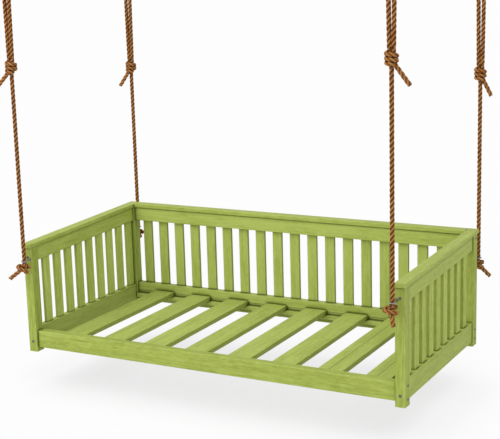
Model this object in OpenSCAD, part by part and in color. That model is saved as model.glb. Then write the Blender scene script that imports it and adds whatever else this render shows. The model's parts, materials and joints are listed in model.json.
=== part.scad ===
// Hanging swing bed: a painted timber daybed frame on four laid ropes.
// Millimetres. +Z is up, -Y is the open front, +X is the right-hand end.
// The origin is the middle of the footprint, level with the feet of the posts.

/* [Frame] */
// Overall length across the end posts
frame_l = 2110; // [1900:10:2300]
// Overall depth across the posts
frame_d = 1028; // [900:2:1200]
// Height under the arm caps at mid depth
arm_h = 576; // [540:2:640]
// Fall of the arms from the back posts to the front posts
arm_drop = 30; // [10:1:44]
// Height of the lowest rails above the feet
foot_gap = 23; // [15:1:26]

/* [Timber] */
// Width of a post along the bed
post_w = 50; // [46:1:64]
// Depth of a post across the bed
post_d = 58; // [54:1:70]
// Thickness of the front and back rails
rail_t = 45; // [40:1:45]
// Thickness of the rails of the ends, which stand back from the faces of the posts
end_rail_t = 38; // [34:1:45]
// Height of the front rail
front_rail_h = 90; // [84:1:96]
// Height of the low rail of each end
end_rail_h = 105; // [95:1:120]
// Height of the rails under the caps
top_rail_h = 78; // [70:1:90]
// Thickness of the caps on the arms and the back
cap_t = 21; // [18:1:28]
// Overhang of the caps outside the frame
cap_side = 6; // [3:1:10]
// Overhang of the back cap over the face of its rail
cap_in = 10; // [4:1:12]
// Overhang of the arm caps past the front posts
cap_front = 8; // [3:1:10]
// Bevel along the long edges of the timber
ease = 2; // [1:0.5:3]

/* [Slats] */
// Width of a bed slat
bed_slat_w = 127; // [100:1:140]
// Distance from one bed slat to the next
bed_slat_pitch = 244; // [200:1:246]
// Left edge of the first bed slat
bed_slat_x = -882; // [-900:1:-800]
// Height of the bed surface
bed_top = 100; // [96:1:104]
// Thickness of a bed slat
bed_slat_t = 25; // [18:1:28]
// Number of upright slats in the back
back_slats_n = 19; // [13:1:19]
// Distance from one back slat to the next
back_pitch = 106.5; // [90:0.5:107]
// Width of a back slat
back_slat_w = 56; // [40:1:60]
// Number of upright slats in each end
end_slats_n = 9; // [7:1:9]
// Distance from one end slat to the next
end_pitch = 99; // [80:1:99]
// Width of an end slat
end_slat_w = 54; // [40:1:60]
// Thickness of the upright slats
slat_t = 18; // [12:1:22]

/* [Ropes] */
// Diameter of the laid rope
rope_d = 19; // [16:0.5:20]
// Height of the front eye bolts
front_eye_z = 502; // [480:1:515]
// Height of the back eye bolts
back_eye_z = 450; // [400:1:470]
// Distance of the rope from the face of its post
rope_out = 48; // [46:1:60]
// Distance of a front rope from the middle of the bed
front_rope_x = 1014; // [1012:1:1040]
// Distance of a back rope from the middle of the bed
back_rope_x = 1046; // [1020:1:1046]
// Length of a rope from its eye bolt up to its ceiling link
rope_l = 1398; // [1200:1:2200]
// Height of the front left noose knot above its eye bolt
left_noose = 999; // [900:1:1150]
// Height of the front right noose knot above its eye bolt
right_noose = 1070; // [900:1:1150]
// Height of a back noose knot above its eye bolt
back_noose = 950; // [800:1:1100]

/* [Hardware] */
// Diameter of the steel in the links and pins
wire_d = 9; // [8:0.5:9]
// Diameter of the steel of an eye bolt
eye_d = 6; // [5:0.5:7]
// Mean radius of an eye bolt's eye
eye_r = 13.5; // [13.5:0.5:17]
// Half width of a ceiling link, to the middle of its steel
link_w = 22; // [20:1:30]
// Height of the straight sides of a ceiling link
link_side = 22; // [22:1:60]
// Diameter of a frame bolt
bolt_d = 8; // [6:1:10]
// Length of a frame bolt under its head
bolt_l = 110; // [90:5:125]
// Diameter of a ceiling plate
plate_d = 76; // [70:1:100]

/* [Hidden] */
half_l = frame_l / 2;
half_d = frame_d / 2;
in_x = half_l - post_w;
in_y = half_d - post_d;
slope = atan(arm_drop / frame_d);
back_h = arm_h + arm_drop / 2;
// the rails of the front and back stand off the fronts of the posts alike
rail_in = post_d - rail_t;
front_rail_y = -half_d + rail_in;
back_rail_y = in_y + rail_in;
end_rail_x = half_l - post_w / 2 - rail_t / 2;
// the low back rail and the beam below it
sill_z = 90;
sill_h = 46;
beam_z = 28;
beam_h = sill_z - beam_z;
// strips that carry the bed slats
cleat_t = 22;
cleat_h = 24;
cleat_z = bed_top - bed_slat_t - cleat_h;
bed_slats_n = 8;
rope_r = rope_d / 2;
wire_r = wire_d / 2;
// the link hangs on the pin and the rope hangs on the foot of the link,
// both with a running gap
gap = 0.3;
link_bend = 10;
bight_r = wire_r + rope_r + gap;
link_drop = link_side + link_w - wire_d - gap;
ear_w = 22;
ear_t = 5;
ear_gap = 18;
ceiling_z = 2010;
plate_t = 6;
// wraps of the knots lie just clear of each other
wrap_pitch = rope_d + 0.6;
wrap_r = 21.5;
noose_turns = 2.75;
noose_t = wrap_pitch * noose_turns + rope_d;
neck = 8;
// half axes of the overhand knot's wrap, to the middle of the rope
knot_wide = 28;
knot_deep = 18.5;
// the two strands of a loop lie side by side above the knot
strand_x = rope_r + 0.4;
$fn = 48;
timber = [0.63, 0.72, 0.34];
timber_lit = [0.70, 0.78, 0.42];
hemp = [0.55, 0.33, 0.17];
steel = [0.62, 0.63, 0.65];

// --- places -------------------------------------------------------------

// centre of an eye bolt's eye; end is -1 left or 1 right, face is -1 front or 1 back
function eye_at(end, face) = [
    end * (face < 0 ? front_rope_x : back_rope_x),
    face * (half_d + rope_out),
    face < 0 ? front_eye_z : back_eye_z
];

// height of the noose knot's middle above the eye bolt
function noose_h(end, face) = face > 0 ? back_noose : (end < 0 ? left_noose : right_noose);

// each frame bolt: where its head sits and the way that it points
bolt_back = back_rail_y + rail_t / 2 - 2;
bolt_front = front_rail_y + rail_t / 2 - 2;
bolts = concat(
    [for (e = [-1, 1], z = [back_h - arm_drop - 50, 55]) [[e * (half_l - post_w / 2), -half_d, z], [0, 1, 0]]],
    [for (e = [-1, 1], z = [back_h - 51, 55]) [[e * (half_l - post_w / 2), half_d, z], [0, -1, 0]]],
    [for (e = [-1, 1], z = [foot_gap + 9, foot_gap + 74]) [[e * half_l, bolt_front, z], [-e, 0, 0]]],
    [for (e = [-1, 1], z = [beam_z + 8, beam_z + 55, back_h - 22]) [[e * half_l, bolt_back, z], [-e, 0, 0]]]
);

// --- timber -------------------------------------------------------------

// rectangle with its corner cut at the bevel, corner at the origin
module section(w, h) {
    polygon([
        [ease, 0],
        [w - ease, 0],
        [w, ease],
        [w, h - ease],
        [w - ease, h],
        [ease, h],
        [0, h - ease],
        [0, ease]
    ]);
}

// boards along each axis, with one corner at the origin
module board_x(l, d, h) {
    rotate([90, 0, 90]) linear_extrude(height = l) section(d, h);
}

module board_y(w, l, h) {
    translate([0, l, 0]) rotate([90, 0, 0]) linear_extrude(height = l) section(w, h);
}

module board_z(w, d, l) {
    linear_extrude(height = l) section(w, d);
}

// everything lower than a plane that falls to the front with the arms
module below_arms(depth) {
    y = 2 * half_d;
    rise = y * tan(slope);
    translate([-frame_l, 0, 0]) rotate([90, 0, 90]) linear_extrude(height = 2 * frame_l)
        polygon([
            [-y, -10],
            [y, -10],
            [y, arm_h - depth + rise],
            [-y, arm_h - depth - rise]
        ]);
}

// holes for the frame bolts
module bolt_holes() {
    for (b = bolts) along(b[0], b[1]) translate([0, 0, -1]) cylinder(d = bolt_d, h = bolt_l + 1);
}

// moves its child to a point, with +Z turned to the given axis direction
module along(at, way) {
    translate(at) rotate([way[1] == 0 ? 0 : -90 * way[1], way[0] == 0 ? 0 : 90 * way[0], 0]) children();
}

module post(end, face) {
    eye = eye_at(end, face);
    color(timber) difference() {
        intersection() {
            translate([end * (half_l - post_w / 2) - post_w / 2, face * (half_d - post_d / 2) - post_d / 2, 0])
                board_z(post_w, post_d, back_h + 20);
            below_arms(0);
        }
        bolt_holes();
        // the eye bolt screws into the outer face
        translate([eye[0], face * (half_d - 25), eye[2]]) rotate([90, 0, 0])
            cylinder(d = eye_d, h = 50.02, center = true);
    }
}

module end_top_rail(end) {
    rise = in_y * tan(slope);
    color(timber) difference() {
        intersection() {
            translate([end * (half_l - post_w / 2) - end_rail_t / 2, 0, arm_h]) rotate([slope, 0, 0])
                translate([0, -half_d, -top_rail_h]) board_y(end_rail_t, 2 * half_d, top_rail_h);
            translate([-frame_l, -in_y, 0]) cube([2 * frame_l, 2 * in_y, 2 * arm_h]);
        }
        bolt_holes();
    }
}

module end_low_rail(end) {
    color(timber) difference() {
        translate([end * (half_l - post_w / 2) - end_rail_t / 2, -in_y, foot_gap])
            board_y(end_rail_t, 2 * in_y, end_rail_h);
        bolt_holes();
    }
}

// a rail from post to post along the bed
module long_rail(y, z, h) {
    color(timber) difference() {
        translate([-in_x, y, z]) board_x(2 * in_x, rail_t, h);
        bolt_holes();
    }
}

// arm caps fall to the front; their front ends have rounded corners
module arm_cap(end) {
    w = post_w + cap_side;
    l = frame_d + cap_front + cap_side;
    x = end > 0 ? in_x : -in_x - w;
    color(timber_lit) translate([x, 0, arm_h]) rotate([slope, 0, 0]) translate([0, -half_d - cap_front, 0])
        board_y(w, l, cap_t);
}

module back_cap() {
    color(timber_lit) translate([-in_x, back_rail_y - cap_in, back_h])
        board_x(2 * in_x, cap_in + rail_t + cap_side, cap_t);
}

// --- slats --------------------------------------------------------------

// The slats of an end are set out from one post, so the last gap is the wide one.
// The right-hand end is the same panel turned round.
module end_slats(end) {
    first = in_y - 6 - end_slat_w - (end_slats_n - 1) * end_pitch;
    color(timber) intersection() {
        rotate(end < 0 ? 0 : 180) for (i = [0:end_slats_n - 1])
            translate([-half_l + post_w / 2 - slat_t / 2, first + i * end_pitch, foot_gap + end_rail_h])
                board_z(slat_t, end_slat_w, arm_h);
        below_arms(top_rail_h / cos(slope));
    }
}

// the back slats are set out from the right-hand post and lie flush with the back
module back_slats() {
    h = back_h - top_rail_h - sill_z - sill_h;
    color(timber) for (i = [0:back_slats_n - 1])
        translate([in_x - back_slat_w - i * back_pitch, half_d - slat_t, sill_z + sill_h])
            board_z(back_slat_w, slat_t, h);
}

module bed_slat(i) {
    y = front_rail_y + rail_t;
    color(timber_lit) translate([bed_slat_x + (i - 1) * bed_slat_pitch, y, bed_top - bed_slat_t])
        board_y(bed_slat_w, back_rail_y - y, bed_slat_t);
}

module cleat(face) {
    y = face < 0 ? front_rail_y + rail_t : back_rail_y - cleat_t;
    color(timber) translate([-in_x, y, cleat_z]) board_x(2 * in_x, cleat_t, cleat_h);
}

// --- hardware -----------------------------------------------------------

// coach bolt with a low domed head
module frame_bolts() {
    color(steel) for (b = bolts) along(b[0], b[1]) {
        cylinder(d = bolt_d, h = bolt_l);
        intersection() {
            translate([0, 0, 7]) sphere(r = 10.5);
            translate([0, 0, -4]) cylinder(d = 15, h = 4);
        }
    }
}

// eye bolt with a shoulder on the face of the post
module eye_bolt(end, face) {
    color(steel) translate(eye_at(end, face)) {
        rotate_extrude() translate([eye_r, 0]) circle(d = eye_d, $fn = 24);
        rotate([face * 90, 0, 0]) {
            translate([0, 0, eye_r]) cylinder(d = eye_d, h = rope_out - eye_r + 50);
            translate([0, 0, rope_out - 3]) cylinder(r = 6.5, h = 3);
        }
    }
}

// Long link that turns on the ceiling pin and lets the bed swing to and fro.
// Its foot is straight, and the doubled rope rocks on it sideways.
module ceiling_link(end, face) {
    flat = link_w - link_bend;
    color(steel) translate(eye_at(end, face) + [0, 0, rope_l]) {
        translate([0, flat, 0]) rotate([90, 0, 0]) cylinder(r = wire_r, h = 2 * flat);
        for (s = [-1, 1]) {
            translate([0, s * flat, link_bend]) rotate([0, 90, 0]) rotate(s > 0 ? 0 : -90)
                rotate_extrude(angle = 90) translate([link_bend, 0]) circle(r = wire_r, $fn = 24);
            translate([0, s * link_w, link_bend]) cylinder(r = wire_r, h = link_side - link_bend);
        }
        translate([0, 0, link_side]) rotate([0, -90, 0]) rotate(-90)
            rotate_extrude(angle = 180) translate([link_w, 0]) circle(r = wire_r, $fn = 24);
    }
}

// where the pin of a ceiling bracket lies
function pin_at(end, face) = eye_at(end, face) + [0, 0, rope_l + link_drop];

// round ceiling plate with two ears, bored for the pin
module ceiling_bracket(end, face) {
    at = pin_at(end, face);
    drop = ceiling_z - plate_t - at[2];
    color(steel) translate(at) difference() {
        union() {
            translate([0, 0, drop]) cylinder(d = plate_d, h = plate_t);
            for (s = [-1, 1]) translate([s * (ear_gap + ear_t) / 2, 0, 0]) {
                translate([-ear_t / 2, -ear_w / 2, 0]) cube([ear_t, ear_w, drop]);
                rotate([0, 90, 0]) cylinder(d = ear_w, h = ear_t, center = true);
            }
        }
        rotate([0, 90, 0]) cylinder(r = wire_r, h = 2 * ear_w, center = true);
        for (a = [45:90:315]) rotate(a) translate([26, 0, drop - 1]) cylinder(d = 5.5, h = plate_t + 2);
    }
}

// headed pins through the ears
module ceiling_pins() {
    l = ear_gap + 2 * ear_t;
    color(steel) for (end = [-1, 1], face = [-1, 1]) translate(pin_at(end, face)) rotate([0, 90, 0]) {
        translate([0, 0, -l / 2 - 3]) cylinder(r = wire_r, h = l + 7);
        translate([0, 0, l / 2]) cylinder(r = 7, h = 3);
    }
}

// --- rope ---------------------------------------------------------------

function unit(v) = v / norm(v);

function ways(p) = [for (i = [0:len(p) - 1]) unit(p[min(i + 1, len(p) - 1)] - p[max(i - 1, 0)])];

// side directions carried along the path without twist
function sides(t) = [
    for (
        i = 0, n = unit(cross(t[0], [0.3, 0.2, 0.9] + 0.01 * t[0]));
        i < len(t);
        i = i + 1, n = unit(n - (n * t[min(i, len(t) - 1)]) * t[min(i, len(t) - 1)])
    ) n
];

// round tube of eight sides along a path of points
module tube(p, r, s = 8) {
    t = ways(p);
    n = sides(t);
    points = [
        for (i = [0:len(p) - 1], k = [0:s - 1])
            p[i] + r * (cos(360 * k / s) * n[i] + sin(360 * k / s) * cross(t[i], n[i]))
    ];
    last = (len(p) - 1) * s;
    faces = concat(
        [for (k = [1:s - 2]) [0, k, k + 1]],
        [for (k = [1:s - 2]) [last, last + k + 1, last + k]],
        [for (i = [0:len(p) - 2], k = [0:s - 1]) [i * s + k, (i + 1) * s + k, i * s + (k + 1) % s]],
        [
            for (i = [0:len(p) - 2], k = [0:s - 1])
                [(i + 1) * s + k, (i + 1) * s + (k + 1) % s, i * s + (k + 1) % s]
        ]
    );
    polyhedron(points, faces, convexity = 10);
}

// Stopper knot under an eye bolt, a plain overhand knot drawn up tight: the rope comes
// down, wraps once round itself and goes down through its own wrap as the tail.
// at is the knot's middle below the eye, tail is the way and length of the tail,
// up is the axis of the wrap and side is the way of its wide side.
module low_knot(end, face, at, tail, side, up, top = 7) {
    z = unit(up);
    x = unit(side - (side * z) * z);
    y = cross(z, x);
    way = unit(tail);
    wrap = [
        for (a = [0, each [60:30:330], 380])
            let (tuck = 0.4 + 0.6 * sin(min(a, 390 - a, 90)))
            [knot_wide * tuck * cos(a), -knot_deep * tuck * sin(a), -10.5 + 21 * a / 390]
    ];
    inward = [[8, 0, 2], [8.5, 0, -6], [11, 1, -13]];
    outward = [[-6, 3, 9], [-9, 0, 0], [-8, 0, -12]];
    color(hemp) translate(eye_at(end, face)) {
        tube(concat([[0, 0, -top], [0, 0, -top - 6]], [for (q = inward) at + q * [x, y, z]]), rope_r);
        tube([for (q = wrap) at + q * [x, y, z]], rope_r);
        tube(concat(
            [for (q = outward) at + q * [x, y, z]],
            [for (l = [28, 42, norm(tail)]) at + l * way]
        ), rope_r);
    }
}

// turns of rope round the standing part, their ends tucked into it;
// the first turn lies below z = 0
function wraps(turns, start) = [
    for (i = [0:12 * turns])
        let (a = 30 * i, tuck = min(a, 360 * turns - a, 90) / 90)
        let (r = wrap_r * (0.25 + 0.75 * sin(90 * tuck)))
        [r * cos(start + a), r * sin(start + a), -rope_r - wrap_pitch * a / 360]
];

// lowest point of a loop above its eye bolt
function loop_low(end, face) = noose_h(end, face) + noose_t / 2 + neck;

// how far the strands of a loop lean apart on their way up to the ceiling link
function strand_lean(end, face) = atan((bight_r - strand_x) / (rope_l - loop_low(end, face)));

// Noose knot: wraps round the standing part, with the two strands of the loop above.
// tail is the way and length of its tail.
module noose_knot(end, face, tail) {
    lean = tan(strand_lean(end, face));
    rise = noose_t / 2 + neck;
    color(hemp) translate(eye_at(end, face) + [0, 0, noose_h(end, face)]) {
        translate([0, 0, noose_t / 2]) tube(wraps(noose_turns, 90), rope_r);
        translate([0, 0, -rise]) cylinder(r = rope_r, h = noose_t, $fn = 16);
        // the strands of the loop part inside the wraps and leave along its lean
        for (s = [-1, 1]) tube([
            for (i = [0:5]) [
                s * (strand_x * sin(min(18 * i + 18, 90)) - (5 - i) * rise / 6 * lean),
                0,
                rise * (i + 1) / 6
            ]
        ], rope_r);
        // the tail comes out from under the lowest turn, clear of the rope below
        foot = [0, 0, rope_d - noose_t / 2] + 8 * unit([tail[0], tail[1], 0]);
        tube([for (i = [0:5]) foot + (6 + (norm(tail) - 6) * i / 5) * unit(tail)], rope_r);
    }
}

// the doubled rope over the ceiling link; its strands lean together from the bight down
module rope_loop(end, face) {
    low = loop_low(end, face);
    color(hemp) translate(eye_at(end, face)) tube(concat(
        [for (z = [low, low + 10, rope_l - 10]) [-strand_x - (z - low) * tan(strand_lean(end, face)), 0, z]],
        [for (a = [180:-15:0]) [bight_r * cos(a), 0, rope_l + bight_r * sin(a)]],
        [for (z = [rope_l - 10, low + 10, low]) [strand_x + (z - low) * tan(strand_lean(end, face)), 0, z]]
    ), rope_r, 12);
}

// single rope from the stopper knot up to the noose knot
module rope(end, face) {
    high = noose_h(end, face) - noose_t / 2 - neck;
    color(hemp) translate(eye_at(end, face) + [0, 0, -7]) cylinder(r = rope_r, h = high + 7, $fn = 24);
}

// --- the pieces ---------------------------------------------------------

post(-1, -1);  // post_front_left
post(1, -1);  // post_front_right
post(-1, 1);  // post_back_left
post(1, 1);  // post_back_right
end_top_rail(-1);  // end_top_rail_left
end_top_rail(1);  // end_top_rail_right
end_low_rail(-1);  // end_low_rail_left
end_low_rail(1);  // end_low_rail_right
long_rail(back_rail_y, back_h - top_rail_h, top_rail_h);  // back_top_rail
long_rail(back_rail_y, sill_z, sill_h);  // back_low_rail
long_rail(back_rail_y, beam_z, beam_h);  // back_beam
long_rail(front_rail_y, foot_gap, front_rail_h);  // front_rail
arm_cap(-1);  // arm_cap_left
arm_cap(1);  // arm_cap_right
back_cap();
end_slats(-1);  // end_slats_left
end_slats(1);  // end_slats_right
back_slats();
bed_slat(1);  // bed_slat_1
bed_slat(2);  // bed_slat_2
bed_slat(3);  // bed_slat_3
bed_slat(4);  // bed_slat_4
bed_slat(5);  // bed_slat_5
bed_slat(6);  // bed_slat_6
bed_slat(7);  // bed_slat_7
bed_slat(8);  // bed_slat_8
cleat(-1);  // cleat_front
cleat(1);  // cleat_back
frame_bolts();
eye_bolt(-1, -1);  // eye_bolt_front_left
eye_bolt(1, -1);  // eye_bolt_front_right
eye_bolt(-1, 1);  // eye_bolt_back_left
eye_bolt(1, 1);  // eye_bolt_back_right
rope(-1, -1);  // rope_front_left
rope(1, -1);  // rope_front_right
rope(-1, 1);  // rope_back_left
rope(1, 1);  // rope_back_right
low_knot(-1, -1, [-5, -3, -34], [-70, -28, -58], [2, 1, 0], [1, 0.4, 4]);  // low_knot_front_left
low_knot(1, -1, [-6, -3, -31], [13, -4, -76], [2, 1, 0], [0, 0, 1]);  // low_knot_front_right
low_knot(-1, 1, [-3, 0, -36], [-52, 12, -60], [1, 0, 0], [1, 0, 4], 10);  // low_knot_back_left
low_knot(1, 1, [0, 0, -36], [57, 17, -60], [5, -1, 0], [-1, -0.2, 4]);  // low_knot_back_right
noose_knot(-1, -1, [-75, -26, -90]);  // noose_knot_front_left
noose_knot(1, -1, [72, 7, -96]);  // noose_knot_front_right
noose_knot(-1, 1, [-42, -42, -88]);  // noose_knot_back_left
noose_knot(1, 1, [44, 13, -92]);  // noose_knot_back_right
rope_loop(-1, -1);  // rope_loop_front_left
rope_loop(1, -1);  // rope_loop_front_right
rope_loop(-1, 1);  // rope_loop_back_left
rope_loop(1, 1);  // rope_loop_back_right
ceiling_link(-1, -1);  // ceiling_link_front_left
ceiling_link(1, -1);  // ceiling_link_front_right
ceiling_link(-1, 1);  // ceiling_link_back_left
ceiling_link(1, 1);  // ceiling_link_back_right
ceiling_bracket(-1, -1);  // ceiling_bracket_front_left
ceiling_bracket(1, -1);  // ceiling_bracket_front_right
ceiling_bracket(-1, 1);  // ceiling_bracket_back_left
ceiling_bracket(1, 1);  // ceiling_bracket_back_right
ceiling_pins();
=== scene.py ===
import bpy
import json
import math
from mathutils import Vector, Matrix


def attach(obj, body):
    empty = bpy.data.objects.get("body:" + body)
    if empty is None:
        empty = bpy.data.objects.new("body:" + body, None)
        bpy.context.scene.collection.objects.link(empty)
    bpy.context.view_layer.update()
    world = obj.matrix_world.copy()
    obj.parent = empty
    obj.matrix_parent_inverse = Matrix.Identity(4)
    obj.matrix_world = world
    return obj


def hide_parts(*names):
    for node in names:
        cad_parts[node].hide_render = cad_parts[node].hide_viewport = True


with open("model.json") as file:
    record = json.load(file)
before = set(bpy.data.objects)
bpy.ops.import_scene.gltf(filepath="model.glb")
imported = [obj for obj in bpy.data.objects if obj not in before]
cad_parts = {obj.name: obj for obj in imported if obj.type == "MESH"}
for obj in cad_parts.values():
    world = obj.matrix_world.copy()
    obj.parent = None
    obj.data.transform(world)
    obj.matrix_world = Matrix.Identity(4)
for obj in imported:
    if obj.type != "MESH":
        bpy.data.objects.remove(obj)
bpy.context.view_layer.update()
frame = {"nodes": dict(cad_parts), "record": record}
scene = bpy.context.scene
print("frame loaded")

# camera, as the bed was photographed: from the front and right, a little above the arms
cameraValues = {
    "place": (2.944, -5.447, 2.010),
    "turn": 28.29,          # angles in degrees
    "pitch": 12.07,
    "roll": -1.63,
    "lens": 88.7,
    "farEnd": 60,
}


def makeCamera(values):
    turn, pitch, roll = (math.radians(values[key]) for key in ("turn", "pitch", "roll"))
    ahead = Vector((
        -math.sin(turn) * math.cos(pitch),
        math.cos(turn) * math.cos(pitch),
        -math.sin(pitch),
    ))
    level = Vector((math.cos(turn), math.sin(turn), 0))
    upward = level.cross(ahead)
    right = level * math.cos(roll) + upward * math.sin(roll)
    up = upward * math.cos(roll) - level * math.sin(roll)
    data = bpy.data.cameras.new("camera")
    data.lens = values["lens"]
    data.clip_end = values["farEnd"]
    camera = bpy.data.objects.new("camera", data)
    scene.collection.objects.link(camera)
    turned = Matrix((right, up, -ahead)).transposed().to_4x4()
    camera.matrix_world = Matrix.Translation(values["place"]) @ turned
    scene.camera = camera


makeCamera(cameraValues)

# ropes: sizes and places in metres, the same as in the solids
ropeValues = {
    "thick": 0.019,
    "strands": 3,
    "lay": 0.072,           # length in which a strand goes once round
    "strand": 0.318,        # a strand's radius, in thicknesses
    "offset": 0.272,        # and its distance from the rope's middle
    "step": 0.0055,
    "sides": 10,
    "phase": 0.9,           # turn from one rope of a knot to the next, in radians
    "length": 1.398,        # from an eye bolt up to its ceiling link
    "start": 0.007,         # the single rope starts this far below its eye
}
# a noose knot and the loop above it
nooseValues = {
    "wraps": 2.75,
    "wrapPitch": 0.0196,
    "wrapRadius": 0.0215,
    "wrapStart": 90,        # degrees
    "wrapSteps": 24,        # points in one turn
    "tucked": 0.25,         # the ends of the wraps go in to this share of the radius
    "neck": 0.008,
    "tailStart": 0.006,
    "tailAside": 0.008,
    "beside": 0.0099,       # a loop's strands stand this far from its middle at the knot
    "bight": 0.0143,        # and this far over the ceiling link
    "straight": 0.010,      # straight length at both ends of a strand
}
# a stopper knot: down, once round itself, and down through its own wrap
stopperValues = {
    "top": 0.007,           # it starts this far below its eye
    "leadTop": 0.010,       # or this far, where the bed's joints are in the knot
    "entry": 0.006,
    "inward": [(8, 0, 2), (8.5, 0, -6), (10, -0.5, -14), (16, -2, -19), (22.5, -6, -15)],   # mm
    "wide": 0.028,          # half axes of the wrap
    "deep": 0.0185,
    "arc": (45, 331, 15),   # its degrees, from, to and by
    "low": -0.0105,
    "climb": 0.021 / 390,   # rise of the wrap in one degree
    "outward": [(15, 11, 10), (4, 9, 13), (-6, 4, 9), (-9, 0, 0), (-8, 0, -12)],            # mm
    "tail": (0.028, 0.042),     # two points of the tail before its end
}
# each corner: its eye, the noose knot's height over it, and from the knots their tails; the
# stopper knot's middle from the eye, and the directions of its long side and of its axis
hangers = {
    "front_left": {
        "eye": (-1.014, -0.562, 0.502), "noose": 0.999, "nooseTail": (-0.075, -0.026, -0.090),
        "knot": (-0.005, -0.003, -0.034), "tail": (-0.070, -0.028, -0.058),
        "side": (2, 1, 0), "up": (1, 0.4, 4),
    },
    "front_right": {
        "eye": (1.014, -0.562, 0.502), "noose": 1.070, "nooseTail": (0.072, 0.007, -0.096),
        "knot": (-0.006, -0.003, -0.031), "tail": (0.013, -0.004, -0.076),
        "side": (2, 1, 0), "up": (0, 0, 1),
    },
    "back_left": {
        "eye": (-1.046, 0.562, 0.450), "noose": 0.950, "nooseTail": (-0.042, -0.042, -0.088),
        "knot": (-0.003, 0, -0.036), "tail": (-0.052, 0.012, -0.060),
        "side": (1, 0, 0), "up": (1, 0, 4),
    },
    "back_right": {
        "eye": (1.046, 0.562, 0.450), "noose": 0.950, "nooseTail": (0.044, 0.013, -0.092),
        "knot": (0, 0, -0.036), "tail": (0.057, 0.017, -0.060),
        "side": (5, -1, 0), "up": (-1, -0.2, 4),
    },
}


def smoothly(route, parts=6):
    # one smooth line through the points
    points = [Vector(p) for p in route]
    last = len(points) - 1
    line = []
    for i in range(last):
        a, b, c, d = points[max(i - 1, 0)], points[i], points[i + 1], points[min(i + 2, last)]
        for k in range(parts):
            t = k / parts
            bend = 2 * a - 5 * b + 4 * c - d + (3 * b - a - 3 * c + d) * t
            line.append(b + (c - a + bend * t) * (t / 2))
    return line + [points[-1]]


def evenly(route, step):
    # the same route in even steps, and its length
    points = [Vector(p) for p in route]
    reach = [0.0]
    for a, b in zip(points, points[1:]):
        reach.append(reach[-1] + (b - a).length)
    count = max(3, int(round(reach[-1] / step)))
    even, k = [], 0
    for i in range(count + 1):
        s = reach[-1] * i / count
        while k < len(points) - 2 and reach[k + 1] < s:
            k += 1
        part = (s - reach[k]) / max(reach[k + 1] - reach[k], 1e-9)
        even.append(points[k].lerp(points[k + 1], min(max(part, 0), 1)))
    return even, reach[-1]


def headings(points):
    last = len(points) - 1
    steps = [points[min(i + 1, last)] - points[max(i - 1, 0)] for i in range(last + 1)]
    return [step.normalized() for step in steps]


def laidRope(verts, faces, marks, route, values, phase):
    # strands laid round the route; marks holds each corner's place round and along its strand
    points, length = evenly(route, values["step"])
    ways = headings(points)
    side = ways[0].orthogonal().normalized()
    sides = []
    for way in ways:
        side = (side - way * side.dot(way)).normalized()
        sides.append(side)
    around = values["sides"]
    radius = values["strand"] * values["thick"]
    offset = values["offset"] * values["thick"]
    for strand in range(values["strands"]):
        outs, middles, turns = [], [], []
        for i, point in enumerate(points):
            turn = length * i / (len(points) - 1) / values["lay"]
            angle = 2 * math.pi * (turn + strand / values["strands"]) + phase
            out = sides[i] * math.cos(angle) + ways[i].cross(sides[i]) * math.sin(angle)
            outs.append(out)
            middles.append(point + out * offset)
            turns.append(turn)
        strandWays = headings(middles)
        first = len(verts)
        for middle, out, way in zip(middles, outs, strandWays):
            across = (out - way * out.dot(way)).normalized()
            other = way.cross(across)
            for j in range(around):
                angle = 2 * math.pi * j / around
                verts.append(middle + (across * math.cos(angle) + other * math.sin(angle)) * radius)
        for i in range(len(middles) - 1):
            ring, following = first + i * around, first + (i + 1) * around
            for j in range(around):
                k = (j + 1) % around
                faces.append((ring + j, ring + k, following + k, following + j))
                u, v = j / around, (j + 1) / around
                marks.append(((u, turns[i]), (v, turns[i]), (v, turns[i + 1]), (u, turns[i + 1])))
        # both cut ends
        for base, order, turn in ((first, -1, turns[0]), (len(verts) - around, 1, turns[-1])):
            faces.append(tuple(range(base, base + around))[::order])
            marks.append(((0.5, turn),) * around)
    return points


def ropePiece(name, routes, nodes, body):
    verts, faces, marks = [], [], []
    for k, route in enumerate(routes):
        middles = laidRope(verts, faces, marks, route, ropeValues, ropeValues["phase"] * k)
    mesh = bpy.data.meshes.new(name)
    mesh.from_pydata(verts, [], faces)
    layer = mesh.uv_layers.new(name="strandPlace")
    for polygon, mark in zip(mesh.polygons, marks):
        polygon.use_smooth = len(mark) == 4
        for corner, place in zip(polygon.loop_indices, mark):
            layer.data[corner].uv = place
    piece = bpy.data.objects.new(name, mesh)
    scene.collection.objects.link(piece)
    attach(piece, body)
    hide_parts(*nodes)
    return piece, middles


def wrapRoute(middle, top, values):
    # turns of rope round the standing part, their ends tucked into it
    whole = 360 * values["wraps"]
    count = int(values["wrapSteps"] * values["wraps"])
    route = []
    for i in range(count + 1):
        angle = whole * i / count
        tuck = math.sin(math.radians(min(angle, whole - angle, 90)))
        radius = values["wrapRadius"] * (values["tucked"] + (1 - values["tucked"]) * tuck)
        turned = math.radians(values["wrapStart"] + angle)
        route.append(middle + Vector((
            radius * math.cos(turned),
            radius * math.sin(turned),
            top - ropeValues["thick"] / 2 - values["wrapPitch"] * angle / 360,
        )))
    return route


def stopperRoute(hanger, top, values):
    eye, middle, tail, axis, side = (
        Vector(hanger[key]) for key in ("eye", "knot", "tail", "up", "side"))
    axis.normalize()
    wide = (side - axis * side.dot(axis)).normalized()
    deep = axis.cross(wide)
    local = [Vector(place) / 1000 for place in values["inward"]]
    for angle in range(*values["arc"]):
        turned = math.radians(angle)
        local.append(Vector((
            values["wide"] * math.cos(turned),
            -values["deep"] * math.sin(turned),
            values["low"] + values["climb"] * angle,
        )))
    local += [Vector(place) / 1000 for place in values["outward"]]
    route = [Vector((0, 0, -top)), Vector((0, 0, -top - values["entry"]))]
    route += [middle + wide * place.x + deep * place.y + axis * place.z for place in local]
    route += [middle + tail.normalized() * reach for reach in (*values["tail"], tail.length)]
    return smoothly([eye + place for place in route])


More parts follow.
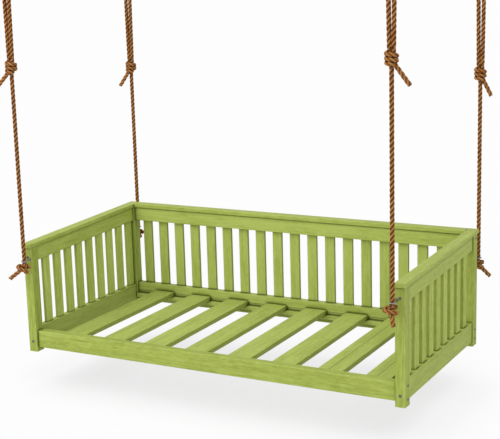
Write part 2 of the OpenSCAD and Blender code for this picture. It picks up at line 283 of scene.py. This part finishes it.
def nooseRoutes(middle, hanger, half, lean, values):
    # the rope below goes in, both strands of the loop come out, and the wraps hold them
    rise = half + values["neck"]
    routes = [[middle + Vector((0, 0, -rise + half * i / 2)) for i in range(5)]]
    for side in (-1, 1):
        route = []
        for i in range(6):
            spread = values["beside"] * math.sin(math.radians(min(18 * i + 18, 90)))
            aside = spread - (5 - i) * rise / 6 * lean
            route.append(middle + Vector((side * aside, 0, rise * (i + 1) / 6)))
        routes.append(route)
    # the tail comes out from under the lowest turn, clear of the rope below
    tail = Vector(hanger["nooseTail"])
    aside = Vector((tail.x, tail.y, 0)).normalized() * values["tailAside"]
    foot = middle + Vector((0, 0, ropeValues["thick"] - half)) + aside
    start = values["tailStart"]
    reaches = [start + (tail.length - start) * i / 5 for i in range(6)]
    routes.append([foot + tail.normalized() * reach for reach in reaches])
    routes.append(wrapRoute(middle, half, values))
    return routes


def loopRoute(eye, low, lean, values):
    # up one strand, over the foot of the ceiling link, and down the other
    high, bight = ropeValues["length"], values["bight"]
    heights = [low, low + values["straight"], high - values["straight"]]
    spans = [values["beside"] + (z - low) * lean for z in heights]
    route = [eye + Vector((-x, 0, z)) for x, z in zip(spans, heights)]
    for degrees in range(180, -1, -15):
        angle = math.radians(degrees)
        over = Vector((bight * math.cos(angle), 0, high + bight * math.sin(angle)))
        route.append(eye + over)
    return route + [eye + Vector((x, 0, z)) for x, z in zip(spans[::-1], heights[::-1])]


ropePieces = []
halfWraps = (nooseValues["wrapPitch"] * nooseValues["wraps"] + ropeValues["thick"]) / 2
for corner, hanger in hangers.items():
    eye = Vector(hanger["eye"])
    hangerBody = "hanger_" + corner
    lead = corner == "back_left"    # the bed hangs in the joint tree from this corner's knot
    low = hanger["noose"] - (halfWraps + nooseValues["neck"])
    high = hanger["noose"] + (halfWraps + nooseValues["neck"])
    lean = (nooseValues["bight"] - nooseValues["beside"]) / (ropeValues["length"] - high)
    stopper, _ = ropePiece(
        "stopperKnot_" + corner,
        [stopperRoute(hanger, stopperValues["leadTop" if lead else "top"], stopperValues)],
        ["low_knot_" + corner],
        "knot_back_left" if lead else hangerBody,
    )
    noose, _ = ropePiece(
        "nooseKnot_" + corner,
        nooseRoutes(eye + Vector((0, 0, hanger["noose"])), hanger, halfWraps, lean, nooseValues),
        ["noose_knot_" + corner],
        hangerBody,
    )
    straight = [eye + Vector((0, 0, -ropeValues["start"])), eye + Vector((0, 0, low))]
    single, singlePath = ropePiece(
        "singleRope_" + corner, [straight], ["rope_" + corner], hangerBody)
    route = loopRoute(eye, high, lean, nooseValues)
    double, doublePath = ropePiece(
        "doubledRope_" + corner, [route], ["rope_loop_" + corner], hangerBody)
    evenly(route, 0.005)[1]
    ropePieces += [stopper, noose, single, double]
print("ropes laid and knotted")


# small helpers for the shaders
def put(tree, kind, **settings):
    node = tree.nodes.new(kind)
    for key, value in settings.items():
        setattr(node, key, value)
    return node


def feed(tree, sockets, terms):
    # each term is another node's socket, a plain value, or None where nothing is set
    for socket, term in zip(sockets, terms):
        if isinstance(term, bpy.types.NodeSocket):
            tree.links.new(term, socket)
        elif term is not None:
            socket.default_value = term


def sums(tree, operation, *terms, clamp=False):
    node = put(tree, "ShaderNodeMath", operation=operation, use_clamp=clamp)
    feed(tree, node.inputs, terms)
    return node.outputs[0]


def vectorSums(tree, operation, *terms):
    node = put(tree, "ShaderNodeVectorMath", operation=operation)
    feed(tree, node.inputs, terms)
    return node.outputs["Value" if operation in ("DOT_PRODUCT", "LENGTH") else "Vector"]


def weighed(tree, *pairs):
    # the sum of sockets, each with its weight
    parts = [sums(tree, "MULTIPLY", socket, weight) for socket, weight in pairs]
    total = parts[0]
    for part in parts[1:]:
        total = sums(tree, "ADD", total, part)
    return total


def between(tree, share, limits):
    low, high = limits
    return sums(tree, "MULTIPLY_ADD", share, high - low, low)


def mixColours(tree, factor, a, b, blend="MIX"):
    node = put(tree, "ShaderNodeMix", data_type="RGBA", blend_type=blend)
    feed(tree, (node.inputs[0], node.inputs[6], node.inputs[7]), (factor, a, b))
    return node.outputs[2]


def mixShaders(tree, factor, a, b):
    node = put(tree, "ShaderNodeMixShader")
    feed(tree, node.inputs, (factor, a, b))
    return node.outputs[0]


def noise(tree, vector, scale, detail, rough=0.5):
    node = put(tree, "ShaderNodeTexNoise")
    names = ("Vector", "Scale", "Detail", "Roughness")
    feed(tree, [node.inputs[name] for name in names], (vector, scale, detail, rough))
    return node.outputs["Fac"]


def ramp(tree, factor, limits):
    # 0 at the first limit and 1 at the second
    node = put(tree, "ShaderNodeMapRange", clamp=True)
    feed(tree, node.inputs, (factor, *limits))
    return node.outputs["Result"]


def bumped(tree, shader, height, strength, distance):
    bump = put(tree, "ShaderNodeBump")
    bump.inputs["Strength"].default_value = strength
    bump.inputs["Distance"].default_value = distance
    tree.links.new(height, bump.inputs["Height"])
    tree.links.new(bump.outputs["Normal"], shader.inputs["Normal"])


def newGroup(name, inputs, outputs):
    group = bpy.data.node_groups.new(name, "ShaderNodeTree")
    for label, kind, value in inputs:
        socket = group.interface.new_socket(
            name=label, in_out="INPUT", socket_type="NodeSocket" + kind)
        if value is not None:
            socket.default_value = value
    for label in outputs:
        group.interface.new_socket(name=label, in_out="OUTPUT", socket_type="NodeSocketFloat")
    return group, group.nodes.new("NodeGroupInput"), group.nodes.new("NodeGroupOutput")


def groupNode(tree, group, vector=None, **values):
    node = put(tree, "ShaderNodeGroup", node_tree=group)
    if vector is not None:
        tree.links.new(vector, node.inputs["Vector"])
    for key, value in values.items():
        node.inputs[key].default_value = value
    return node


# shader groups, each built once; a noise is its scale, detail and roughness
grainValues = {
    "boardShift": 3.0,              # each board has its own stretch of grain
    "fine": (150.0, 3.0, 0.6),
    "broad": (34.0, 3.0, 0.55),
    "dab": (85.0, 2.0, 0.6),
    "mottle": (4.2, 3.0, 0.5),
    "fineShare": 0.58,
    "broadShare": 0.42,
    "dabStretch": (0.7, 0.3),       # the dabs of the brush are drawn out less than the grain
    "streakLimits": (0.34, 0.66),
    "dabLimits": (0.32, 0.68),
    "mottleLimits": (0.30, 0.70),
}


def makeBrushedGrain(values):
    # streaks along the board, from the wood's grain and the brush, under a thick coat of paint
    group, given, out = newGroup("brushedGrain", [
        ("Vector", "Vector", None),
        ("Along", "Vector", (1.0, 1.0, 1.0)),
        ("Board Pitch", "Vector", (0.0, 0.0, 0.0)),
    ], ["Streaks", "Dabs", "Mottle", "Board", "Height"])
    vector, along = given.outputs["Vector"], given.outputs["Along"]
    board = vectorSums(group, "MULTIPLY", vector, given.outputs["Board Pitch"])
    chance = put(group, "ShaderNodeTexWhiteNoise", noise_dimensions="3D")
    group.links.new(vectorSums(group, "FLOOR", board), chance.inputs["Vector"])
    shifted = vectorSums(
        group, "MULTIPLY_ADD", chance.outputs["Color"], (values["boardShift"],) * 3, vector)
    drawn = vectorSums(group, "MULTIPLY", shifted, along)
    fine = noise(group, drawn, *values["fine"])
    broad = noise(group, drawn, *values["broad"])
    streaks = weighed(group, (broad, values["broadShare"]), (fine, values["fineShare"]))
    mottle = noise(group, shifted, *values["mottle"])
    less = vectorSums(group, "MULTIPLY_ADD", along, *((part,) * 3 for part in values["dabStretch"]))
    dabs = noise(group, vectorSums(group, "MULTIPLY", shifted, less), *values["dab"])
    feed(group, [out.inputs[name] for name in ("Streaks", "Dabs", "Mottle", "Board", "Height")], (
        ramp(group, streaks, values["streakLimits"]),
        ramp(group, dabs, values["dabLimits"]),
        ramp(group, mottle, values["mottleLimits"]),
        chance.outputs["Value"],
        streaks,
    ))
    return group


grimeValues = {
    "patchDetail": 6,
    "patchLimits": (0.5, 0.75),
    "speckDetail": 2,
    "speckLimits": (0.66, 0.72),
}


def makeGrime(values):
    # dirt that gathers in patches, and small chips
    group, given, out = newGroup("grimePatches", [
        ("Vector", "Vector", None),
        ("Patch Scale", "Float", 9.0),
        ("Speck Scale", "Float", 160.0),
    ], ["Patches", "Specks"])
    for mark, output in (("patch", "Patches"), ("speck", "Specks")):
        scale = given.outputs[mark.capitalize() + " Scale"]
        spots = noise(group, given.outputs["Vector"], scale, values[mark + "Detail"])
        group.links.new(ramp(group, spots, values[mark + "Limits"]), out.inputs[output])
    return group


cornerValues = {
    "jointShadeReach": 0.011,
    "jointShadeLimits": (0.10, 0.32),
    "shadeReach": 0.110,
    "shadeLimits": (0.24, 0.74),
    "edgeWidth": 0.0045,
    "edgeLimits": (0.01, 0.12),
    "hollowSamples": 8,
    "edgeSamples": 6,
}


def makeCorners(values):
    # painted shade: dark lines in the corners where boards meet, and shade deep between them; edges
    # painted pale, partly rubbed wear and partly painted highlight
    group, given, out = newGroup("cornersAndEdges", [
        ("Joint Shade Reach", "Float", values["jointShadeReach"]),
        ("Shade Reach", "Float", values["shadeReach"]),
        ("Edge Width", "Float", values["edgeWidth"]),
    ], ["Joint Shade", "Shade", "Edge"])
    for name, limits in (("Joint Shade", values["jointShadeLimits"]), ("Shade", values["shadeLimits"])):
        hollow = put(group, "ShaderNodeAmbientOcclusion", samples=values["hollowSamples"])
        group.links.new(given.outputs[name + " Reach"], hollow.inputs["Distance"])
        shut = sums(group, "SUBTRACT", 1.0, hollow.outputs["AO"])
        group.links.new(ramp(group, shut, limits), out.inputs[name])
    rounded = put(group, "ShaderNodeBevel", samples=values["edgeSamples"])
    group.links.new(given.outputs["Edge Width"], rounded.inputs["Radius"])
    flat = put(group, "ShaderNodeNewGeometry")
    same = vectorSums(group, "DOT_PRODUCT", rounded.outputs["Normal"], flat.outputs["True Normal"])
    turned = sums(group, "SUBTRACT", 1.0, same)
    group.links.new(ramp(group, turned, values["edgeLimits"]), out.inputs["Edge"])
    return group


brushedGrain = makeBrushedGrain(grainValues)
grimePatches = makeGrime(grimeValues)
cornersAndEdges = makeCorners(cornerValues)
print("shader groups built")


def newMaterial(name):
    material = bpy.data.materials.new(name)
    material.use_nodes = True
    tree = material.node_tree
    vector = put(tree, "ShaderNodeTexCoord").outputs["Object"]
    return material, tree, tree.nodes["Principled BSDF"], vector


# lime green brushed paint; the colours are linear
paintValues = {
    "deep": (0.235, 0.290, 0.046, 1),
    "main": (0.372, 0.448, 0.088, 1),
    "pale": (0.480, 0.565, 0.142, 1),
    "wearAndHighlight": (0.600, 0.690, 0.230, 1),
    "dirt": (0.170, 0.180, 0.040, 1),
    "joint": (0.055, 0.072, 0.008, 1),
    "shade": (0.120, 0.150, 0.012, 1),
    "toneStart": -0.24,         # the tone runs from deep over main to pale
    "streakTone": 0.72,
    "mottleTone": 0.16,
    "dabTone": 0.28,
    "boardTone": 0.20,
    "paintedLightLift": 0.0,                # painted light: raises the tone of one kind of board that the lamps leave too dark
    "patchScale": 7.0,
    "patchDepth": 0.09,
    "speckScale": 190.0,
    "speckDepth": 0.22,
    "edgeWearAndHighlight": 0.7,
    "jointShadeReach": 0.011,
    "jointShadeGain": 1.0,
    "jointShadeDepth": 0.82,
    "shadeDepth": 0.62,
    "shadedSideAxis": None,           # faces turned this way lie between boards and get painted shade
    "bothSides": True,
    "sideShadeDepth": 0.55,
    "sideLimits": (0.6, 0.9),
    "lengthLines": (),                # thin dark lines along the board, at these places across it
    "lengthLineLimits": (0.0010, 0.0032),
    "lengthLineDepth": 0.6,
    "pitch": (0, 0, 0),         # boards in a metre, along each axis
    "roughness": (0.45, 0.66),
    "specular": 0.10,
    "streakHeight": 0.0009,
    "streakStrength": 0.55,
}
alongX, alongY, alongZ = (0.045, 1.0, 1.0), (1.0, 0.045, 1.0), (1.0, 1.0, 0.045)
lowRail = {"along": alongY, "bothSides": False, "jointShadeDepth": 0.50}
# painted light: paler colours for the end slats, which the lamps leave too dark
endSlats = {
    "along": alongZ, "pitch": (0.9, 1 / 0.099, 0),
    "main": (0.440, 0.525, 0.110, 1), "pale": (0.570, 0.665, 0.180, 1),
    "jointShadeDepth": 0.60, "shadeDepth": 0.25, "shadedSideAxis": (0, 1, 0),
}
# what each kind of board changes; on holds the starts of the names of its nodes. Their lifts are
# painted light, lit and shaded copies of one paint
paintKinds = {
    "paintFrontRail": {"on": "front_rail", "along": alongX, "paintedLightLift": 0.10},
    "paintRailsAcross": {
        "on": "end_top_rail", "along": alongY, "paintedLightLift": 0.34,
        "jointShadeReach": 0.028, "jointShadeGain": 2.4, "shadeDepth": 0.25,
    },
    "paintLowRailLeft": {
        **lowRail, "on": "end_low_rail_left", "paintedLightLift": 0.36,
        "shadeDepth": 0.50, "shadedSideAxis": (1, 0, 0), "sideShadeDepth": 0.24,
    },
    "paintLowRailRight": {
        **lowRail, "on": "end_low_rail_right", "paintedLightLift": 0.26,
        "shadedSideAxis": (-1, 0, 0), "sideShadeDepth": 0.32,
    },
    "paintBackCap": {"on": "back_cap", "along": alongX, "paintedLightLift": 0.22},
    "paintArmCaps": {"on": "arm_cap", "along": alongY, "paintedLightLift": 0.24},
    "paintPosts": {
        "on": "post_", "along": alongZ, "pitch": (0.9, 0.9, 0), "paintedLightLift": 0.10, "jointShadeDepth": 0.65,
    },
    "paintBackSlats": {
        "on": "back_slats", "along": alongZ, "pitch": (1 / 0.1065, 0, 0), "paintedLightLift": 0.46,
        "shadeDepth": 0.25, "shadedSideAxis": (1, 0, 0),
    },
    "paintLeftSlats": {**endSlats, "on": "end_slats_left", "paintedLightLift": 0.36},
    "paintRightSlats": {**endSlats, "on": "end_slats_right", "paintedLightLift": 0.16},
    "paintBedSlats": {
        "on": "bed_slat", "along": alongY, "pitch": (1 / 0.244, 0, 0), "paintedLightLift": 0.38,
        "shadedSideAxis": (1, 0, 0), "sideShadeDepth": 0.34, "lengthLines": (0.639, 0.883),
    },
    "paintBackRails": {
        "on": ("back_", "cleat_"), "along": alongX, "paintedLightLift": 0.42,
        "jointShadeReach": 0.018, "shadeDepth": 0.40,
    },
}


def makePaint(name, values):
    material, tree, shader, vector = newMaterial(name)
    grain = groupNode(tree, brushedGrain, vector, **{
        "Along": values["along"], "Board Pitch": values["pitch"]})
    dirt = groupNode(tree, grimePatches, vector, **{
        "Patch Scale": values["patchScale"], "Speck Scale": values["speckScale"]})
    corners = groupNode(tree, cornersAndEdges, **{"Joint Shade Reach": values["jointShadeReach"]})
    tone = weighed(
        tree,
        (grain.outputs["Streaks"], values["streakTone"]),
        (grain.outputs["Mottle"], values["mottleTone"]),
        (grain.outputs["Dabs"], values["dabTone"]),
    )
    # painted light: the lift raises the tone of a whole kind of board
    start = values["paintedLightLift"] + values["toneStart"]
    board = sums(tree, "MULTIPLY_ADD", grain.outputs["Board"], values["boardTone"], start)
    tone = sums(tree, "ADD", tone, board, clamp=True)
    colour = mixColours(tree, ramp(tree, tone, (0.0, 0.5)), values["deep"], values["main"])
    colour = mixColours(tree, ramp(tree, tone, (0.5, 1.0)), colour, values["pale"])
    stain = weighed(
        tree,
        (dirt.outputs["Patches"], values["patchDepth"]),
        (dirt.outputs["Specks"], values["speckDepth"]),
    )
    colour = mixColours(tree, stain, colour, values["dirt"])
    # edges painted pale, partly rubbed wear and partly painted highlight where light catches them
    wornAndHighlit = sums(tree, "MULTIPLY", corners.outputs["Edge"], grain.outputs["Dabs"])
    wornAndHighlit = sums(tree, "MULTIPLY", wornAndHighlit, values["edgeWearAndHighlight"])
    colour = mixColours(tree, wornAndHighlit, colour, values["wearAndHighlight"])
    # painted shade on the faces that lie between boards
    if values["shadedSideAxis"]:
        normal = put(tree, "ShaderNodeTexCoord").outputs["Normal"]
        facing = vectorSums(tree, "DOT_PRODUCT", normal, values["shadedSideAxis"])
        if values["bothSides"]:
            facing = sums(tree, "ABSOLUTE", facing)
        facing = ramp(tree, facing, values["sideLimits"])
        share = sums(tree, "MULTIPLY", facing, values["sideShadeDepth"])
        colour = mixColours(tree, share, colour, values["shade"])
    for lineAt in values["lengthLines"]:
        split = put(tree, "ShaderNodeSeparateXYZ")
        tree.links.new(vector, split.inputs[0])
        aside = sums(tree, "ABSOLUTE", sums(tree, "SUBTRACT", split.outputs["X"], lineAt))
        line = sums(tree, "SUBTRACT", 1.0, ramp(tree, aside, values["lengthLineLimits"]))
        share = sums(tree, "MULTIPLY", line, values["lengthLineDepth"])
        colour = mixColours(tree, share, colour, values["joint"])
    # painted shade deep between boards, then painted shade as dark lines in the corners where they
    # meet
    share = sums(tree, "MULTIPLY", corners.outputs["Shade"], values["shadeDepth"])
    colour = mixColours(tree, share, colour, values["shade"])
    share = sums(tree, "MULTIPLY", corners.outputs["Joint Shade"], values["jointShadeGain"], clamp=True)
    share = sums(tree, "MULTIPLY", share, values["jointShadeDepth"])
    colour = mixColours(tree, share, colour, values["joint"])
    tree.links.new(colour, shader.inputs["Base Color"])
    rough = between(tree, grain.outputs["Streaks"], values["roughness"])
    tree.links.new(rough, shader.inputs["Roughness"])
    shader.inputs["Specular IOR Level"].default_value = values["specular"]
    height = grain.outputs["Height"]
    bumped(tree, shader, height, values["streakStrength"], values["streakHeight"])
    return material


paints = {name: makePaint(name, {**paintValues, **kind}) for name, kind in paintKinds.items()}

# zinc plated steel, a little rusty
steelValues = {
    "bright": (0.42, 0.43, 0.44, 1),
    "dull": (0.23, 0.235, 0.235, 1),
    "rust": (0.16, 0.075, 0.03, 1),
    "rustDepth": 0.35,
    "level": 1.0,               # darkens all of it
    "cloud": (240.0, 4.0, 0.6),
    "patchScale": 60.0,
    "metallic": 0.95,           # less where it is rusty
    "roughness": (0.34, 0.62),
    "pitDepth": 0.0004,
    "pitStrength": 0.3,
}


def makeSteel(name, **changes):
    values = {**steelValues, **changes}
    material, tree, shader, vector = newMaterial(name)
    dirt = groupNode(tree, grimePatches, vector, **{"Patch Scale": values["patchScale"]})
    cloud = noise(tree, vector, *values["cloud"])
    colour = mixColours(tree, cloud, values["dull"], values["bright"])
    rusty = sums(tree, "MULTIPLY", dirt.outputs["Patches"], values["rustDepth"])
    colour = mixColours(tree, rusty, colour, values["rust"])
    colour = mixColours(tree, 1.0, colour, (values["level"],) * 3 + (1,), "MULTIPLY")
    tree.links.new(colour, shader.inputs["Base Color"])
    tree.links.new(between(tree, cloud, values["roughness"]), shader.inputs["Roughness"])
    metal = sums(tree, "SUBTRACT", values["metallic"], rusty)
    tree.links.new(metal, shader.inputs["Metallic"])
    bumped(tree, shader, cloud, values["pitStrength"], values["pitDepth"])
    return material


hangerSteel = makeSteel("zincHangers")
boltSteel = makeSteel("zincBolts", rustDepth=0.55, level=0.42)

# laid natural fibre
fibreValues = {
    "groove": (0.046, 0.013, 0.002, 1),
    "main": (0.275, 0.092, 0.013, 1),
    "pale": (0.800, 0.400, 0.140, 1),
    "fibre": (520.0, 3.0, 0.7),
    "patch": (26.0, 3.0, 0.6),
    "fibreTone": 0.55,
    "patchTone": 0.45,
    "toneLimits": (0.34, 0.68),
    "yarns": 7.0,               # round one strand
    "yarnLean": 5.0,            # yarns crossed in one turn of the lay
    "yarnShade": (0.5, 1.0),
    "grooveShadeLimits": (0.29, 0.48),
    "grooveDepth": 0.92,
    "hollowShadeReach": 0.009,
    "hollowDepth": 0.0,
    "roughness": (0.62, 0.88),
    "specular": 0.12,
    "yarnHeight": 0.7,
    "fibreHeight": 0.5,
    "height": 0.0008,
    "heightStrength": 0.8,
}


def makeRopeFibre(name, **changes):
    # yarns run along each strand and lean against the lay, and the grooves between strands get
    # painted shade
    values = {**fibreValues, **changes}
    material, tree, shader, vector = newMaterial(name)
    place = put(tree, "ShaderNodeUVMap", uv_map="strandPlace")
    split = put(tree, "ShaderNodeSeparateXYZ")
    tree.links.new(place.outputs["UV"], split.inputs[0])
    around, onward = split.outputs["X"], split.outputs["Y"]
    lean = weighed(tree, (around, values["yarns"]), (onward, values["yarnLean"]))
    yarn = sums(tree, "ABSOLUTE", sums(tree, "SINE", sums(tree, "MULTIPLY", lean, math.pi)))
    # around is 0 and 1 on the outside of the rope and 0.5 where the strands touch
    outside = sums(tree, "ABSOLUTE", sums(tree, "SUBTRACT", around, 0.5))
    # painted shade in the grooves where the strands touch
    groove = sums(tree, "SUBTRACT", 1.0, ramp(tree, outside, values["grooveShadeLimits"]))
    fibres = noise(tree, vector, *values["fibre"])
    patches = noise(tree, vector, *values["patch"])
    tone = weighed(tree, (fibres, values["fibreTone"]), (patches, values["patchTone"]))
    tone = ramp(tree, tone, values["toneLimits"])
    tone = sums(tree, "MULTIPLY", tone, between(tree, yarn, values["yarnShade"]))
    colour = mixColours(tree, tone, values["main"], values["pale"])
    share = sums(tree, "MULTIPLY", groove, values["grooveDepth"])
    colour = mixColours(tree, share, colour, values["groove"])
    if values["hollowDepth"]:
        # painted shade where the turns of a knot press together, dark between them
        corners = groupNode(tree, cornersAndEdges, **{"Joint Shade Reach": values["hollowShadeReach"]})
        share = sums(tree, "MULTIPLY", corners.outputs["Joint Shade"], values["hollowDepth"])
        colour = mixColours(tree, share, colour, values["groove"])
    tree.links.new(colour, shader.inputs["Base Color"])
    tree.links.new(between(tree, fibres, values["roughness"]), shader.inputs["Roughness"])
    shader.inputs["Specular IOR Level"].default_value = values["specular"]
    height = weighed(tree, (yarn, values["yarnHeight"]), (fibres, values["fibreHeight"]))
    bumped(tree, shader, height, values["heightStrength"], values["height"])
    return material


laidFibre = makeRopeFibre("laidFibre")
knotFibre = makeRopeFibre("knotFibre", grooveDepth=0.45, hollowDepth=0.9)


def dress(piece, material):
    piece.data.materials.clear()
    piece.data.materials.append(material)


def paintFor(node):
    # the first kind that fits, so the back rails stand last among those of the back
    fitting = [name for name, kind in paintKinds.items() if node.startswith(kind["on"])]
    return paints[fitting[0]]


steels = {"hanger_steel": hangerSteel, "bolt_steel": boltSteel}
for entry in frame["record"]["subparts"]:
    node, finish = entry["node"], entry["material_slot"]
    if finish == "painted_timber":
        dress(frame["nodes"][node], paintFor(node))
    else:
        dress(frame["nodes"][node], steels.get(finish, laidFibre))
for piece in ropePieces:
    dress(piece, knotFibre if "Knot" in piece.name else laidFibre)
print("materials placed")

# floor and light
stageValues = {
    "floorReach": 16.0,
    "floorDrop": 0.18,
    "floorColour": ((0.80, 0.80, 0.795, 1), (0.84, 0.84, 0.835, 1)),
    "floorCloud": (3.0, 4.0, 0.55),
    "floorRoughness": 0.9,
    "floorSpecular": 0.1,
    "white": (0.985, 0.985, 0.985, 1),
    "shadowShare": 0.06,            # how much of the floor's own shading shows near the bed
    "fade": (0.9, 1.7),             # between these distances it goes over into plain white
    "shadowReach": 0.47,            # soft shade under the bed, from how much of the sky it hides
    "shadowLimits": (0.90, 0.50),
    "shadowSamples": 16,
    "shadowTone": (0.30, 0.30, 0.305, 1),
    "shadowDepth": 0.275,
    "skyColour": (1.0, 0.997, 0.99, 1),
    "skyLevel": (0.42, 0.90),       # light from behind the bed, and from before and above it
    "skyWay": (-0.22, -0.60, 0.55),     # the way to the bright side
    "skyLimits": (-0.5, 0.6),
}
lampValues = {
    "keyLamp": {
        "place": (-2.6, -3.8, 4.2), "aim": (0, 0, 0.3), "size": 3.4,
        "power": 104, "colour": (1.0, 0.99, 0.98),
    },
    "fillLamp": {
        "place": (4.4, -2.6, 2.6), "aim": (0, 0, 0.4), "size": 3.2,
        "power": 20, "colour": (1.0, 1.0, 0.99),
    },
}


def seenRays(tree):
    rays = put(tree, "ShaderNodeLightPath").outputs
    either = sums(tree, "MAXIMUM", rays["Is Camera Ray"], rays["Is Glossy Ray"])
    return sums(tree, "MAXIMUM", either, rays["Is Transmission Ray"])


def makeFloor(values):
    z, reach = -values["floorDrop"], values["floorReach"]
    mesh = bpy.data.meshes.new("floor")
    corners = [(-reach, -reach, z), (reach, -reach, z), (reach, reach, z), (-reach, reach, z)]
    mesh.from_pydata(corners, [], [(0, 1, 2, 3)])
    floor = bpy.data.objects.new("floor", mesh)
    scene.collection.objects.link(floor)
    material, tree, shader, vector = newMaterial("paleFloor")
    shader.inputs["Roughness"].default_value = values["floorRoughness"]
    shader.inputs["Specular IOR Level"].default_value = values["floorSpecular"]
    tone = mixColours(tree, noise(tree, vector, *values["floorCloud"]), *values["floorColour"])
    direct = put(tree, "ShaderNodeLightPath").outputs["Is Camera Ray"]
    tree.links.new(mixColours(tree, direct, tone, values["white"]), shader.inputs["Base Color"])
    # a white glow hides most of the shading, and carries the soft shade itself
    hidden = put(tree, "ShaderNodeAmbientOcclusion", samples=values["shadowSamples"])
    hidden.inputs["Distance"].default_value = values["shadowReach"]
    dark = ramp(tree, hidden.outputs["AO"], values["shadowLimits"])
    dark = sums(tree, "MULTIPLY", dark, values["shadowDepth"])
    white = put(tree, "ShaderNodeEmission")
    glow = mixColours(tree, dark, values["white"], values["shadowTone"])
    tree.links.new(glow, white.inputs["Color"])
    away = ramp(tree, vectorSums(tree, "LENGTH", vector), values["fade"])
    share = between(tree, away, (1 - values["shadowShare"], 1))
    share = sums(tree, "MULTIPLY", share, seenRays(tree))
    surface = mixShaders(tree, share, shader.outputs[0], white.outputs[0])
    tree.links.new(surface, tree.nodes["Material Output"].inputs["Surface"])
    dress(floor, material)


def makeSky(values):
    world = bpy.data.worlds.new("studio")
    scene.world = world
    world.use_nodes = True
    tree = world.node_tree
    light = tree.nodes["Background"]
    light.inputs["Color"].default_value = values["skyColour"]
    around = put(tree, "ShaderNodeTexCoord").outputs["Generated"]
    toward = vectorSums(tree, "DOT_PRODUCT", around, values["skyWay"])
    bright = between(tree, ramp(tree, toward, values["skyLimits"]), values["skyLevel"])
    tree.links.new(bright, light.inputs["Strength"])
    seen = put(tree, "ShaderNodeBackground")
    seen.inputs["Color"].default_value = values["white"]
    surface = mixShaders(tree, seenRays(tree), light.outputs[0], seen.outputs[0])
    tree.links.new(surface, tree.nodes["World Output"].inputs["Surface"])


def softLamp(name, values):
    data = bpy.data.lights.new(name, "AREA")
    data.shape = "SQUARE"
    data.size = values["size"]
    data.energy = values["power"]
    data.color = values["colour"]
    lamp = bpy.data.objects.new(name, data)
    scene.collection.objects.link(lamp)
    lamp.location = values["place"]
    toward = Vector(values["aim"]) - Vector(values["place"])
    lamp.rotation_euler = toward.to_track_quat("-Z", "Y").to_euler()


makeFloor(stageValues)
makeSky(stageValues)
for name, values in lampValues.items():
    softLamp(name, values)
scene.view_settings.view_transform = "Standard"
print("floor and lamps placed")
